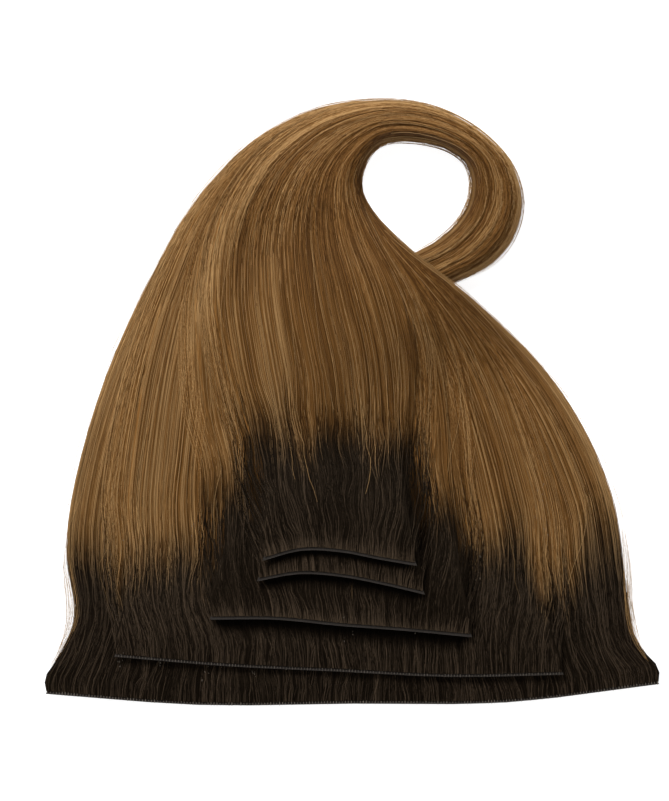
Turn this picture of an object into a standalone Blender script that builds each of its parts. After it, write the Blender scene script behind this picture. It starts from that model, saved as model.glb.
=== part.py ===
"""Clip in hair extension: five wefts of long straight hair lie stacked, the widest in front and lowest,
and their hair is combed into one tail that turns back in a loop and ends under the spread hair.
Metres, +Z up. The origin is on the surface below the middle of the piece, and -Y is the front."""

import math
from collections import namedtuple

import bmesh
import bpy
import numpy as np
from mathutils import Vector
from mathutils.bvhtree import BVHTree

# Overall sizes
SPREAD_WIDTH = 0.220        # widest weft, end to end
LAID_LENGTH = 0.2173        # front edge of the widest weft to the top of the loop
HAIR_LENGTH = 0.356         # root to tip along the hair
GAP = 0.0003                # between pieces that touch

# Bands
BAND_DEPTH = 0.011
BAND_THICKNESS = 0.001
BAND_RIM = 0.001            # bare rim in front of the hair
BAND_END = 0.001            # bare end beside the hair
BAND_TAPER = 0.005          # how far the back corners stand in from the front ones
BAND_POINTS = 13            # along each long edge

# Snap combs under the bands
CLIP_LENGTH = 0.028
CLIP_DEPTH = 0.009
CLIP_THICKNESS = 0.0016
CLIP_FRAME = 0.0018         # width of the clip's frame and of its middle bar
CLIP_CORNER = 0.0025

# Hair
ROOT_THICKNESS = 0.001
SPREAD_THICKNESS = 0.0021   # one weft's hair where it is spread
EDGE_THICKNESS = 0.0005
TIP_THICKNESS = 0.0007
GATHERED_AREA = 0.00017     # section of all the hair where it is gathered
SECTION_FILL = 0.8          # share of width times thickness that a rounded section fills
GROOVE_DEPTH = 0.0010       # between two locks
DROP_LENGTH = 0.035         # behind a band, down to what lies below
BACK_CLEARANCE = 0.002      # level hair behind a band before it drops
DRAPE_LENGTH = 0.030        # beside the hidden tail, down to the surface
TAPER_LENGTH = 0.060        # thinning towards the tips
RAGGED_LENGTH = 0.008       # between the shortest and longest lock of a weft
ROUNDING = 0.28             # share of the tail's height that its lower edges curl up
SPREAD_POWER = 8.0          # section across the spread hair, flat with rounded sides
GATHERED_POWER = 2.2        # section across the tail, nearly an ellipse
LAYER_INSET = 0.04          # how much narrower each weft's hair lies in the tail than the one below
SPREAD_STEP = 0.0135        # between sections where the hair is spread
LOOP_STEP = 0.0072          # between sections in the loop
JITTER = 0.22               # share of a lock's width that its sides wander
GROOVE_RANGE = (0.6, 1.3)   # shallowest and deepest groove, as shares of GROOVE_DEPTH
CREASE_ANGLE = 50           # degrees, past which an edge is shaded sharp
TAIL_SAMPLE_COUNT = 60
REST_GRID = (15, 7)         # places along and across a clip where its seat is felt
REST_MARGIN = 1.15          # share of the clip's size that they cover

# Each weft: width and centre are shares of SPREAD_WIDTH, front is a share of LAID_LENGTH, and wave holds
# how far the front edge stands back at five even places, as shares of the weft's own width.
Weft = namedtuple("Weft", "number width centre front clips locks wave")
WEFTS = [
    Weft(1, 1.000, 0.000, 0.004, 4, 10, (0.016, -0.002, 0.000, 0.002, 0.032)),
    Weft(2, 0.731, -0.022, 0.058, 3, 7, (0.033, 0.012, 0.000, -0.012, -0.007)),
    Weft(3, 0.426, -0.019, 0.134, 2, 5, (0.024, 0.024, 0.000, -0.019, -0.043)),
    Weft(4, 0.272, -0.019, 0.215, 1, 3, (-0.027, 0.016, 0.000, -0.047, -0.106)),
    Weft(5, 0.250, -0.021, 0.256, 1, 3, (-0.057, 0.008, 0.000, -0.047, -0.090)),
]

# The way the hair is combed, from the fronts to the hidden tips: each row is a line across the hair, from its
# outer edge to its inner edge, in shares of SPREAD_WIDTH from the middle and of LAID_LENGTH from the front.
Row = namedtuple("Row", "stretch outer_x outer_y inner_x inner_y")
FLOW = [
    Row("spread", -0.503, -0.026, 0.505, -0.022),
    Row("spread", -0.472, 0.101, 0.464, 0.109),
    Row("spread", -0.464, 0.200, 0.450, 0.200),
    Row("gather", -0.454, 0.332, 0.424, 0.340),
    Row("gather", -0.435, 0.422, 0.386, 0.430),
    Row("gather", -0.378, 0.598, 0.280, 0.587),
    Row("gather", -0.334, 0.694, 0.199, 0.664),
    Row("gather", -0.240, 0.855, 0.080, 0.763),
    Row("gather", -0.170, 0.928, 0.038, 0.809),
    Row("gather", -0.085, 0.977, 0.014, 0.855),
    Row("loop", 0.037, 1.000, 0.038, 0.921),
    Row("loop", 0.167, 0.974, 0.126, 0.928),
    Row("loop", 0.220, 0.939, 0.163, 0.914),
    Row("turn", 0.261, 0.891, 0.188, 0.890),
    Row("turn", 0.277, 0.834, 0.194, 0.853),
    Row("turn", 0.263, 0.774, 0.180, 0.811),
    Row("turn", 0.227, 0.730, 0.146, 0.774),
    Row("tail", 0.167, 0.699, 0.102, 0.748),
    Row("tail", 0.063, 0.643, 0.027, 0.728),
    Row("tail", -0.046, 0.590, -0.092, 0.682),
    Row("tail", -0.152, 0.524, -0.214, 0.616),
    Row("tail", -0.241, 0.444, -0.320, 0.533),
]


def smooth_line(places, values):
    """A function that runs through the values at the places without corners."""
    places = np.asarray(places, dtype=float)
    values = np.asarray(values, dtype=float)
    slopes = np.gradient(values, places, axis=0)

    def at(place):
        place = np.clip(np.asarray(place, dtype=float), places[0], places[-1])
        left = np.clip(np.searchsorted(places, place, side="right") - 1, 0, len(places) - 2)
        span = places[left + 1] - places[left]
        t = (place - places[left]) / span
        if values.ndim > 1:
            t = t[..., None]
            span = span[..., None]
        return (
            (1 + 2 * t) * (1 - t) ** 2 * values[left]
            + t * (1 - t) ** 2 * span * slopes[left]
            + t * t * (3 - 2 * t) * values[left + 1]
            + t * t * (t - 1) * span * slopes[left + 1]
        )

    return at


def ease(share):
    """From 0 to 1 with a level start and end."""
    share = np.clip(share, 0.0, 1.0)
    return share * share * (3 - 2 * share)


def blend(start, end, share):
    return start + (end - start) * share


# The flow of the hair: u runs from -1 at the outer edge to 1 at the inner edge, and the reach is the
# length along the middle of the hair.
FLOW_EDGES = np.array([
    (
        row.outer_x * SPREAD_WIDTH,
        (row.outer_y - 0.5) * LAID_LENGTH,
        row.inner_x * SPREAD_WIDTH,
        (row.inner_y - 0.5) * LAID_LENGTH,
    )
    for row in FLOW
])
FLOW_MIDDLE = (FLOW_EDGES[:, :2] + FLOW_EDGES[:, 2:]) / 2
FLOW_REACH = np.concatenate(([0.0], np.cumsum(np.linalg.norm(np.diff(FLOW_MIDDLE, axis=0), axis=1))))
edges_at = smooth_line(FLOW_REACH, FLOW_EDGES)


def start_of(stretch):
    return FLOW_REACH[[row.stretch for row in FLOW].index(stretch)]


GATHER_START = start_of("gather")
LOOP_START = start_of("loop")
TURN_START = start_of("turn")
TAIL_START = start_of("tail")


def flow_point(u, reach):
    edges = edges_at(reach)
    share = ((np.asarray(u) + 1) / 2)[..., None]
    return edges[..., :2] + (edges[..., 2:] - edges[..., :2]) * share


def flow_width(reach):
    """Width of the hair, square to the way it runs."""
    small = 0.001
    edges = edges_at(reach)
    across = edges[..., 2:] - edges[..., :2]
    along = flow_point(np.zeros_like(reach), reach + small) - flow_point(np.zeros_like(reach), reach - small)
    along = along / np.maximum(np.linalg.norm(along, axis=-1), 1e-9)[..., None]
    return np.abs(across[..., 0] * along[..., 1] - across[..., 1] * along[..., 0])


def gathered(reach):
    """0 where the hair is spread, 1 where it is one tail."""
    return ease((reach - GATHER_START) / (LOOP_START - GATHER_START))


def front_line(weft):
    """A function of x that gives the y of a weft's front edge."""
    width = weft.width * SPREAD_WIDTH
    places = weft.centre * SPREAD_WIDTH + width * np.linspace(-0.5, 0.5, len(weft.wave))
    values = (weft.front - 0.5) * LAID_LENGTH + width * np.array(weft.wave)
    return smooth_line(places, values)


def reach_behind(u, front, distance):
    """The reach at which each u lies the given distance behind a front edge."""
    low = np.full(np.shape(u), FLOW_REACH[0])
    high = np.full(np.shape(u), LOOP_START)
    for step in range(40):
        middle = (low + high) / 2
        points = flow_point(u, middle)
        short = points[..., 1] < front(points[..., 0]) + distance
        low = np.where(short, middle, low)
        high = np.where(short, high, middle)
    return (low + high) / 2


def flow_u(x, front, distance):
    """The u of the point at x, the given distance behind a front edge."""
    u = 0.0
    for step in range(20):
        edges = edges_at(reach_behind(u, front, distance))
        u = 2 * (x - edges[0]) / (edges[2] - edges[0]) - 1
    return u


class WeftHair:
    """Where the hair of one weft runs, and how thick it is."""

    def __init__(self, weft, below):
        self.weft = weft
        self.below = below
        self.front = front_line(weft)
        middle = weft.centre * SPREAD_WIDTH
        half = weft.width * SPREAD_WIDTH / 2 - BAND_END
        self.root_u = [flow_u(middle + side * half, self.front, BAND_RIM) for side in (-1, 1)]
        self.gathered_u = 1 - LAYER_INSET * (weft.number - 1)
        self.share = weft.width / sum(each.width for each in WEFTS)
        self.root_reach = float(reach_behind(np.array(0.0), self.front, BAND_RIM))
        self.tip_reach = min(self.root_reach + HAIR_LENGTH, FLOW_REACH[-1])
        self.root_height = 0.0

    def limits(self, reach):
        share = gathered(reach)
        return blend(self.root_u[0], -self.gathered_u, share), blend(self.root_u[1], self.gathered_u, share)

    def u_at(self, v, reach):
        low, high = self.limits(reach)
        return blend(low, high, (v + 1) / 2)

    def v_at(self, u, reach):
        low, high = self.limits(reach)
        return np.clip(2 * (u - low) / (high - low) - 1, -1, 1)

    def behind(self, v, reach, distance):
        """How far a reach lies beyond the line that is the given distance behind the band's front."""
        return reach - reach_behind(self.u_at(v, np.full(np.shape(v), self.root_reach)), self.front, distance)

    def thickness(self, v, reach):
        low, high = self.limits(reach)
        width = flow_width(reach) * (high - low) / 2
        full = np.maximum(SPREAD_THICKNESS, GATHERED_AREA * self.share / (SECTION_FILL * width))
        full = blend(ROOT_THICKNESS, full, ease(self.behind(v, reach, BAND_DEPTH) / DROP_LENGTH))
        thin = np.clip((self.tip_reach - reach) / TAPER_LENGTH, 0, 1)
        full = np.maximum(full * thin, TIP_THICKNESS)
        power = blend(SPREAD_POWER, GATHERED_POWER, gathered(reach))
        edge = np.minimum(EDGE_THICKNESS, full)
        return edge + (full - edge) * np.sqrt(1 - np.abs(v) ** power)

    def base(self, v, reach):
        """Height of the underside."""
        u = self.u_at(v, reach)
        if self.below is None:
            height = GATHERED_AREA / (SECTION_FILL * flow_width(reach))
            rest = ROUNDING * height * gathered(reach) * np.abs(v) ** 3
            rest = rest + lift_over_tail(flow_point(u, reach), reach)
        else:
            rest = self.below.top(self.below.v_at(u, reach), reach)
        level = 1 - ease(self.behind(v, reach, BAND_DEPTH + BACK_CLEARANCE) / DROP_LENGTH)
        return blend(rest, np.maximum(rest, self.root_height), level)

    def top(self, v, reach):
        """Height at which the next weft's hair may lie."""
        left = np.clip(1 - (reach - self.tip_reach) / SPREAD_STEP, 0, 1)
        return self.base(v, reach) + (self.thickness(v, reach) + GAP) * left


def make_wefts():
    wefts = []
    for weft in WEFTS:
        wefts.append(WeftHair(weft, wefts[-1] if wefts else None))
    return wefts


HAIR = make_wefts()
TAIL_SAMPLES = np.linspace(TAIL_START, max(hair.tip_reach for hair in HAIR), TAIL_SAMPLE_COUNT)
TAIL_MIDDLE = flow_point(np.zeros_like(TAIL_SAMPLES), TAIL_SAMPLES)
TAIL_HALF_WIDTH = flow_width(TAIL_SAMPLES) / 2


def lift_over_tail(points, reach):
    """How high the spread hair is lifted where it lies over or beside the hidden tail."""
    lift = np.zeros_like(reach)
    spread = reach < TURN_START
    if spread.any():
        away = np.linalg.norm(points[spread][:, None, :] - TAIL_MIDDLE, axis=-1) - TAIL_HALF_WIDTH
        lift[spread] = ((TAIL_HEIGHT + GAP) * ease(1 - away / DRAPE_LENGTH)).max(axis=-1)
    return lift


TAIL_HEIGHT = HAIR[-1].top(np.zeros_like(TAIL_SAMPLES), TAIL_SAMPLES)


# Shapes
def new_material(name, colour, roughness, metallic):
    material = bpy.data.materials.new(name)
    material.use_nodes = True
    shader = material.node_tree.nodes["Principled BSDF"]
    shader.inputs["Base Color"].default_value = (*colour, 1.0)
    shader.inputs["Roughness"].default_value = roughness
    shader.inputs["Metallic"].default_value = metallic
    return material


def add_piece(name, data, material, collection):
    data.materials.append(material)
    piece = bpy.data.objects.new(name, data)
    collection.objects.link(piece)
    return piece


def flat_shape(name, outlines, thickness, material, collection):
    """A flat plate with the first outline as its edge and the others as holes."""
    curve = bpy.data.curves.new(name, "CURVE")
    curve.dimensions = "2D"
    curve.fill_mode = "BOTH"
    curve.extrude = thickness / 2
    for outline in outlines:
        spline = curve.splines.new("POLY")
        spline.points.add(len(outline) - 1)
        for point, (x, y) in zip(spline.points, outline):
            point.co = (x, y, 0.0, 1.0)
        spline.use_cyclic_u = True
    piece = add_piece(name, curve, material, collection)
    weld = piece.modifiers.new("Weld", "WELD")
    weld.merge_threshold = 0.00001
    return piece


def grid_triangles(rows, columns):
    """Two triangles for each cell of a grid of points."""
    triangles = []
    for row in range(rows - 1):
        for column in range(columns - 1):
            here = row * columns + column
            triangles.append((here, here + 1, here + columns + 1))
            triangles.append((here, here + columns + 1, here + columns))
    return triangles


def hair_mesh(name, under, over, grooves):
    """A closed sheet between two grids of points, creased along the columns that are grooves."""
    rows, columns = under.shape[:2]
    count = rows * columns
    points = np.concatenate((under.reshape(-1, 3), over.reshape(-1, 3)))
    faces = []
    for a, b, c in grid_triangles(rows, columns):
        faces.append((a, b, c))
        faces.append((a + count, c + count, b + count))
    rim = list(range(columns))
    rim += [row * columns + columns - 1 for row in range(1, rows)]
    rim += [(rows - 1) * columns + column for column in reversed(range(columns - 1))]
    rim += [row * columns for row in reversed(range(1, rows - 1))]
    for here, there in zip(rim, rim[1:] + rim[:1]):
        faces.append((here, here + count, there + count))
        faces.append((here, there + count, there))
    mesh = bpy.data.meshes.new(name)
    mesh.from_pydata(points.tolist(), [], faces)
    shape = bmesh.new()
    shape.from_mesh(mesh)
    bmesh.ops.recalc_face_normals(shape, faces=shape.faces)
    shape.to_mesh(mesh)
    shape.free()
    mesh.shade_smooth()
    mesh.set_sharp_from_angle(angle=math.radians(CREASE_ANGLE))
    for edge in mesh.edges:
        low, high = sorted(edge.vertices)
        if low >= count and high - low == columns and grooves[low % columns]:
            edge.use_edge_sharp = True
    return mesh


# Resting one thing on another
def surface(points, chosen):
    """A search tree of the chosen rows of a grid of points."""
    part = points[chosen]
    return BVHTree.FromPolygons(part.reshape(-1, 3).tolist(), grid_triangles(*part.shape[:2]))


def height_over(trees, x, y):
    """The least height that clears what lies at a place: 0 on the bare surface."""
    high = 0.0
    for tree in trees:
        hit = tree.ray_cast(Vector((x, y, 1.0)), Vector((0.0, 0.0, -1.0)))[0]
        if hit is not None:
            high = max(high, hit.z + GAP)
    return high


CORNER_SHARES = np.array([
    (1, 0, 0), (0, 1, 0), (0, 0, 1), (0.5, 0.5, 0), (0, 0.5, 0.5), (0.5, 0, 0.5), (1 / 3, 1 / 3, 1 / 3),
])


def settle(under, chosen, trees):
    """Raise the chosen rows of an underside until they clear what lies below."""
    columns = under.shape[1]
    part = under[chosen].reshape(-1, 3)
    triangles = grid_triangles(len(part) // columns, columns)
    for step in range(3):
        raised = np.zeros(len(part))
        for corners in triangles:
            corners = list(corners)
            for point in CORNER_SHARES @ part[corners]:
                short = height_over(trees, point[0], point[1]) - point[2]
                raised[corners] = np.maximum(raised[corners], short)
        part[:, 2] += raised
    under[chosen] = part.reshape(under[chosen].shape)


# The hair of one weft
def columns_of(hair):
    """Places of the locks' sides and ridges across the weft, with a depth for each groove."""
    chance = np.random.default_rng(hair.weft.number)
    count = 2 * hair.weft.locks + 1
    v = np.linspace(-1, 1, count)
    v[1:-1] += chance.uniform(-JITTER, JITTER, count - 2) * 2 / (count - 1)
    groove = GROOVE_DEPTH * chance.uniform(*GROOVE_RANGE, count)
    groove[1::2] = 0.0
    groove[[0, -1]] = 0.0
    short = RAGGED_LENGTH * chance.uniform(0.0, 0.6, count)
    short[0::2] = RAGGED_LENGTH
    return v, groove, short


def levels_of(hair, v, short):
    """Reach of each point of the grid, one row for each section."""
    root_u = hair.u_at(v, np.full(len(v), hair.root_reach))
    rows = [reach_behind(root_u, hair.front, BAND_RIM)]
    rows.append(reach_behind(root_u, hair.front, BAND_DEPTH + BACK_CLEARANCE))
    place = FLOW_REACH[0]
    while place < hair.tip_reach - RAGGED_LENGTH - LOOP_STEP / 2:
        if place > rows[1].max() + BACK_CLEARANCE:
            rows.append(np.full(len(v), place))
        curved = LOOP_START - 4 * SPREAD_STEP < place < TAIL_START
        place += LOOP_STEP if curved else SPREAD_STEP
    rows.append(hair.tip_reach - short)
    return np.array(rows)


def place_hair(hair):
    """The grid of a weft's hair: its underside, its thickness and its reach."""
    v, groove, short = columns_of(hair)
    reach = levels_of(hair, v, short)
    v = np.broadcast_to(v, reach.shape)
    plan = flow_point(hair.u_at(v, reach), reach)
    under = np.concatenate((plan, hair.base(v, reach)[..., None]), axis=-1)
    thick = hair.thickness(v, reach)
    grown = ease(hair.behind(v, reach, BAND_RIM) / DROP_LENGTH)
    cut = np.minimum(groove * grown, np.maximum(thick - EDGE_THICKNESS, 0.0))
    return under, thick - cut, reach


def top_of(under, thick):
    over = under.copy()
    over[..., 2] += thick
    return over


# The band of one weft
def band_outline(hair):
    middle = hair.weft.centre * SPREAD_WIDTH
    half = hair.weft.width * SPREAD_WIDTH / 2
    front_x = np.linspace(middle - half, middle + half, BAND_POINTS)
    back_x = np.linspace(middle + half - BAND_TAPER, middle - half + BAND_TAPER, BAND_POINTS)
    return list(zip(front_x, hair.front(front_x))) + list(zip(back_x, hair.front(back_x) + BAND_DEPTH))


# A snap comb: a plate with a middle bar between two slots
def rounded_box(x, y, width, depth, corner):
    points = []
    for quarter, (side_x, side_y) in enumerate(((1, 1), (-1, 1), (-1, -1), (1, -1))):
        centre_x = x + side_x * (width / 2 - corner)
        centre_y = y + side_y * (depth / 2 - corner)
        for step in range(3):
            angle = math.radians(90 * quarter + 45 * step)
            points.append((centre_x + corner * math.cos(angle), centre_y + corner * math.sin(angle)))
    return points


def clip_outlines():
    slot_depth = (CLIP_DEPTH - 3 * CLIP_FRAME) / 2
    slot_length = CLIP_LENGTH - 4 * CLIP_FRAME
    outlines = [rounded_box(0, 0, CLIP_LENGTH, CLIP_DEPTH, CLIP_CORNER)]
    for side in (-1, 1):
        y = side * (CLIP_FRAME + slot_depth) / 2
        outlines.append([
            (-slot_length / 2, y - slot_depth / 2),
            (slot_length / 2, y - slot_depth / 2),
            (slot_length / 2, y + slot_depth / 2),
            (-slot_length / 2, y + slot_depth / 2),
        ])
    return outlines


def clip_places(hair):
    """Middle and turn of each clip, evenly along the band."""
    width = hair.weft.width * SPREAD_WIDTH
    places = []
    for number in range(hair.weft.clips):
        x = hair.weft.centre * SPREAD_WIDTH + width * ((number + 0.5) / hair.weft.clips - 0.5)
        ahead = hair.front(x + CLIP_LENGTH / 2)
        behind = hair.front(x - CLIP_LENGTH / 2)
        y = (ahead + behind) / 2 + BAND_DEPTH / 2
        places.append((x, y, math.atan2(ahead - behind, CLIP_LENGTH)))
    return places


def clip_rest(places, trees):
    """The height at which all clips of a weft clear what lies below."""
    high = 0.0
    for x, y, turn in places:
        for along in np.linspace(-0.5, 0.5, REST_GRID[0]) * CLIP_LENGTH * REST_MARGIN:
            for across in np.linspace(-0.5, 0.5, REST_GRID[1]) * CLIP_DEPTH * REST_MARGIN:
                place_x = x + along * math.cos(turn) - across * math.sin(turn)
                place_y = y + along * math.sin(turn) + across * math.cos(turn)
                high = max(high, height_over(trees, place_x, place_y))
    return high


def add_clips(hair, places, height, material, collection):
    for number, (x, y, turn) in enumerate(places, start=1):
        name = f"weft_{hair.weft.number}_clip_{number}"
        clip = flat_shape(name, clip_outlines(), CLIP_THICKNESS, material, collection)
        clip.location = (x, y, height + CLIP_THICKNESS / 2)
        clip.rotation_euler = (0.0, 0.0, turn)


def main():
    for thing in list(bpy.data.objects):
        bpy.data.objects.remove(thing, do_unlink=True)
    collection = bpy.data.collections.new("clip in hair extension")
    bpy.context.scene.collection.children.link(collection)
    hair_colour = new_material("brown hair", (0.11, 0.055, 0.022), 0.45, 0.0)
    band_colour = new_material("dark band", (0.05, 0.045, 0.04), 0.5, 0.0)
    clip_colour = new_material("dark steel", (0.06, 0.05, 0.045), 0.35, 0.9)

    # The tail first: each weft's hair lies on the one below from the turn on
    grids = []
    tail_trees = []
    for hair in HAIR:
        under, thick, reach = place_hair(hair)
        tail = reach.min(axis=1) >= TURN_START
        if tail_trees:
            settle(under, tail, tail_trees[-1:])
        tail_trees.append(surface(top_of(under, thick), tail))
        grids.append([under, thick, reach, tail])

    # Then the wefts from the lowest up, each with its clips, band and spread hair
    lower_trees = []
    for hair, grid in zip(HAIR, grids):
        places = clip_places(hair)
        clip_height = clip_rest(places, lower_trees)
        band_height = clip_height + CLIP_THICKNESS + GAP
        hair.root_height = band_height + BAND_THICKNESS + GAP
        add_clips(hair, places, clip_height, clip_colour, collection)
        name = f"weft_{hair.weft.number}_band"
        band = flat_shape(name, [band_outline(hair)], BAND_THICKNESS, band_colour, collection)
        band.location.z = band_height + BAND_THICKNESS / 2
        under, thick, reach, tail = grid
        spread = place_hair(hair)[0]
        fan = reach.min(axis=1) < TURN_START
        under[fan] = spread[fan]
        settle(under, fan, lower_trees or tail_trees)
        lower_trees = [surface(top_of(under, thick), fan)]
        name = f"weft_{hair.weft.number}_hair"
        grooves = columns_of(hair)[1] > 0
        add_piece(name, hair_mesh(name, under, top_of(under, thick), grooves), hair_colour, collection)


main()
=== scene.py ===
import math

import bmesh
import bpy
import numpy as np
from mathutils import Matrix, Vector
from mathutils.bvhtree import BVHTree


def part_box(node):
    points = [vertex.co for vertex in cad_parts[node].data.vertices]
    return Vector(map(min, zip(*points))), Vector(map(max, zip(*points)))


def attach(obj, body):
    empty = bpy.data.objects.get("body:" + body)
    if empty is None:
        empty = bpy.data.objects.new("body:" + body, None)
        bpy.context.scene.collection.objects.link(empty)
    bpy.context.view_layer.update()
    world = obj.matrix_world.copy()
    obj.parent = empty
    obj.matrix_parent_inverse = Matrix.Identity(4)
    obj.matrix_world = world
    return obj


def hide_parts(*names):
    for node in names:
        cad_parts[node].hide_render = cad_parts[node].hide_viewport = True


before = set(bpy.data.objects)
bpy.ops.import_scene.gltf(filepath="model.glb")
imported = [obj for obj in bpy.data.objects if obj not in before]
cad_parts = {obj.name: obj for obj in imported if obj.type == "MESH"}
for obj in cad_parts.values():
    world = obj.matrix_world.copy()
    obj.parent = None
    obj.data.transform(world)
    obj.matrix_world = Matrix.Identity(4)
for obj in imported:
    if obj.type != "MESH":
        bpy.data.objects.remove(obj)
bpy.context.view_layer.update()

print("loaded", len(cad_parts), "pieces")

# Sizes of the laid hair, as in the CAD model: metres, with the origin on the surface below its middle
laid = {
    "spreadWidth": 0.220,
    "length": 0.2173,
    "hair": 0.356,
    "rim": 0.001,
    "end": 0.001,
    "ragged": 0.0085,
    "inset": 0.04,
}

# Each weft: width and centre in shares of the spread width, front in shares of the length, and how its front
# waves in its own widths
weftRows = [
    (1.000, 0.000, 0.004, (0.016, -0.002, 0.000, 0.002, 0.032)),
    (0.731, -0.022, 0.058, (0.033, 0.012, 0.000, -0.012, -0.007)),
    (0.426, -0.019, 0.134, (0.024, 0.024, 0.000, -0.019, -0.043)),
    (0.272, -0.019, 0.215, (-0.027, 0.016, 0.000, -0.047, -0.106)),
    (0.250, -0.021, 0.256, (-0.057, 0.008, 0.000, -0.047, -0.090)),
]
wefts = []
for number, (width, centre, front, wave) in enumerate(weftRows, 1):
    wefts.append({"number": number, "width": width, "centre": centre, "front": front, "wave": wave})

# Lines across the hair from its outer to its inner edge, from the fronts to the hidden tips
combedRows = np.array([
    (-0.503, -0.026, 0.505, -0.022),
    (-0.472, 0.101, 0.464, 0.109),
    (-0.464, 0.200, 0.450, 0.200),
    (-0.454, 0.332, 0.424, 0.340),
    (-0.435, 0.422, 0.386, 0.430),
    (-0.378, 0.598, 0.280, 0.587),
    (-0.334, 0.694, 0.199, 0.664),
    (-0.240, 0.855, 0.080, 0.763),
    (-0.170, 0.928, 0.038, 0.809),
    (-0.085, 0.977, 0.014, 0.855),
    (0.037, 1.000, 0.038, 0.921),
    (0.167, 0.974, 0.126, 0.928),
    (0.220, 0.939, 0.163, 0.914),
    (0.261, 0.891, 0.188, 0.890),
    (0.277, 0.834, 0.194, 0.853),
    (0.263, 0.774, 0.180, 0.811),
    (0.227, 0.730, 0.146, 0.774),
    (0.167, 0.699, 0.102, 0.748),
    (0.063, 0.643, 0.027, 0.728),
    (-0.046, 0.590, -0.092, 0.682),
    (-0.152, 0.524, -0.214, 0.616),
    (-0.241, 0.444, -0.320, 0.533),
])
gatherRow, loopRow, turnRow = 3, 10, 13


def smoothLine(places, values):
    places = np.asarray(places, dtype=float)
    values = np.asarray(values, dtype=float)
    slopes = np.gradient(values, places, axis=0)

    def at(place):
        place = np.clip(np.asarray(place, dtype=float), places[0], places[-1])
        left = np.clip(np.searchsorted(places, place, side="right") - 1, 0, len(places) - 2)
        span = places[left + 1] - places[left]
        t = (place - places[left]) / span
        if values.ndim > 1:
            t = t[..., None]
            span = span[..., None]
        return (
            (1 + 2 * t) * (1 - t) ** 2 * values[left]
            + t * (1 - t) ** 2 * span * slopes[left]
            + t * t * (3 - 2 * t) * values[left + 1]
            + t * t * (t - 1) * span * slopes[left + 1]
        )

    return at


def ease(share):
    share = np.clip(share, 0.0, 1.0)
    return share * share * (3 - 2 * share)


def mix(start, end, share):
    return start + (end - start) * share


edgeRows = np.empty_like(combedRows)
edgeRows[:, 0::2] = combedRows[:, 0::2] * laid["spreadWidth"]
edgeRows[:, 1::2] = (combedRows[:, 1::2] - 0.5) * laid["length"]
middleRows = (edgeRows[:, :2] + edgeRows[:, 2:]) / 2
reachRows = np.concatenate(([0.0], np.cumsum(np.linalg.norm(np.diff(middleRows, axis=0), axis=1))))
edgesAt = smoothLine(reachRows, edgeRows)
gatherStart, loopStart, turnStart = reachRows[[gatherRow, loopRow, turnRow]]


# u runs from -1 at the outer edge to 1 at the inner edge, reach is the length along the middle
def combedPoint(u, reach):
    edges = edgesAt(reach)
    share = ((np.asarray(u) + 1) / 2)[..., None]
    return edges[..., :2] + (edges[..., 2:] - edges[..., :2]) * share


def combedWidth(reach):
    edges = edgesAt(reach)
    return np.linalg.norm(edges[..., 2:] - edges[..., :2], axis=-1)


def gathered(reach):
    return ease((reach - gatherStart) / (loopStart - gatherStart))


def frontLine(weft):
    width = weft["width"] * laid["spreadWidth"]
    places = weft["centre"] * laid["spreadWidth"] + width * np.linspace(-0.5, 0.5, len(weft["wave"]))
    values = (weft["front"] - 0.5) * laid["length"] + width * np.array(weft["wave"])
    return smoothLine(places, values)


def reachBehind(u, front, distance):
    low = np.full(np.shape(u), reachRows[0])
    high = np.full(np.shape(u), loopStart)
    for step in range(30):
        middle = (low + high) / 2
        points = combedPoint(u, middle)
        short = points[..., 1] < front(points[..., 0]) + distance
        low = np.where(short, middle, low)
        high = np.where(short, high, middle)
    return (low + high) / 2


def rootShare(x, front):
    u = 0.0
    for step in range(20):
        edges = edgesAt(reachBehind(u, front, laid["rim"]))
        u = 2 * (x - edges[0]) / (edges[2] - edges[0]) - 1
    return float(u)


for weft in wefts:
    weft["frontAt"] = frontLine(weft)
    half = weft["width"] * laid["spreadWidth"] / 2 - laid["end"]
    middle = weft["centre"] * laid["spreadWidth"]
    weft["rootU"] = [rootShare(middle + side * half, weft["frontAt"]) for side in (-1, 1)]
    weft["gatheredU"] = 1 - laid["inset"] * (weft["number"] - 1)
    weft["rootReach"] = float(reachBehind(np.array(0.0), weft["frontAt"], laid["rim"]))
    weft["tipReach"] = min(weft["rootReach"] + laid["hair"], reachRows[-1]) - laid["ragged"]


def uAt(weft, v, reach):
    share = gathered(reach)
    low = mix(weft["rootU"][0], -weft["gatheredU"], share)
    high = mix(weft["rootU"][1], weft["gatheredU"], share)
    return mix(low, high, (v + 1) / 2)


# Reach of each section: the first follows the band's front, the later ones lie square across the hair
def sectionReach(weft, v, places):
    line = reachBehind(uAt(weft, v, np.full(np.shape(v), weft["rootReach"])), weft["frontAt"], laid["rim"])
    fade = 1 - ease((places - weft["rootReach"]) / 0.045)
    return places[:, None] + (line - weft["rootReach"])[None, :] * fade[:, None]


def sectionPlaces(start, end, spreadStep, loopStep):
    places = [start]
    while places[-1] < end:
        tight = ease((places[-1] - loopStart + 0.05) / 0.04)
        places.append(places[-1] + mix(spreadStep, loopStep, tight))
    places = np.array(places)
    return start + (places - start) * (end - start) / (places[-1] - start)


# Smooth wander between seeded values, for locks and their drift
def wander(seed, places, size):
    values = np.random.default_rng(seed).uniform(-1, 1, 4096)
    places = np.asarray(places) / size + 400.0
    left = np.floor(places).astype(int)
    t = ease(places - left)
    return values[left % 4096] * (1 - t) + values[(left + 1) % 4096] * t


def nodeTree(node):
    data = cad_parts[node].data
    points = [tuple(vertex.co) for vertex in data.vertices]
    return BVHTree.FromPolygons(points, [tuple(face.vertices) for face in data.polygons])


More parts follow.
